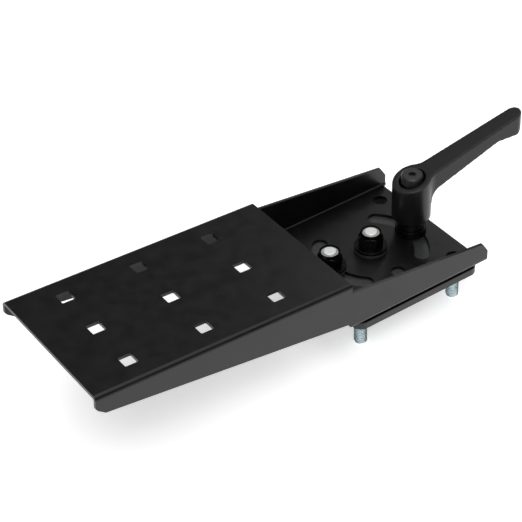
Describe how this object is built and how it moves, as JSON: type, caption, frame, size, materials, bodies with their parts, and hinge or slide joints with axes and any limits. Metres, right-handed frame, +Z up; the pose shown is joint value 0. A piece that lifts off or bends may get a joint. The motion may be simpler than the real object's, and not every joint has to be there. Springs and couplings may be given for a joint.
{
  "type": "swivel arm mounting bracket",
  "caption": "Formed steel carrier plate with square holes on a swivel tray, turning on a studded base plate and clamped by an adjustable lever.",
  "frame": {"origin": "on the swivel axis, at the underside of the base plate, which is the centre of the square of mounting screws", "axes": "+X along the arm towards the lever end, the sloped carrier plate reaching out towards -X; +Y across the arm; +Z up, away from the surface the base is bolted to"},
  "size_m": [0.3297, 0.1, 0.0934],
  "materials": {
    "arm_coat": "semi-matt black powder coat with a fine texture",
    "base_coat": "semi-matt black powder coat",
    "screw_zinc": "bright zinc plated thread",
    "slide_nylon": "black nylon",
    "washer_black": "black zinc plated steel, satin",
    "nut_black": "black zinc plated steel, glossy",
    "nut_nylon": "natural nylon ring",
    "insert_black": "blackened steel",
    "lever_screw_black": "blackened steel, satin",
    "spring_steel": "spring wire",
    "lever_cast": "matt black powder-coated zinc die casting"
  },
  "bodies": {
    "base": {"base_plate": "base_coat", "mounting_screw_1": "screw_zinc", "mounting_screw_2": "screw_zinc", "mounting_screw_3": "screw_zinc", "mounting_screw_4": "screw_zinc", "pivot_stud": "screw_zinc", "guide_stud": "screw_zinc", "clamp_stud": "screw_zinc", "slip_disc": "slide_nylon", "guide_spacer": "slide_nylon", "clamp_spacer": "slide_nylon", "pivot_bush": "slide_nylon", "pivot_slip_washer": "slide_nylon", "guide_slip_washer": "slide_nylon", "pivot_steel_washer": "washer_black", "guide_steel_washer": "washer_black", "clamp_washer": "washer_black", "pivot_lock_nut": "nut_black", "guide_lock_nut": "nut_black", "pivot_nut_ring": "nut_nylon", "guide_nut_ring": "nut_nylon"},
    "arm": {"swivel_tray": "arm_coat", "top_plate": "arm_coat", "left_weld": "arm_coat", "right_weld": "arm_coat"},
    "lever": {"lever_insert": "insert_black", "lever_screw": "lever_screw_black", "lever_spring": "spring_steel"},
    "handle": {"lever_handle": "lever_cast"}
  },
  "joints": [
    {"name": "arm_swivel", "type": "hinge", "parent": "base", "child": "arm", "pos_m": [0, 0, 0.01], "axis": [0, 0, 1], "range_deg": [-45, 45]},
    {"name": "clamp_turn", "type": "hinge", "parent": "base", "child": "lever", "pos_m": [0.0312, 0, 0.02], "axis": [0, 0, 1], "continuous": true},
    {"name": "handle_lift", "type": "slide", "parent": "lever", "child": "handle", "axis": [0, 0, 1], "range_m": [0, 0.004], "stiffness_N_per_m": 900, "springref_m": -0.003, "deforming": ["lever_spring"]}
  ]
}
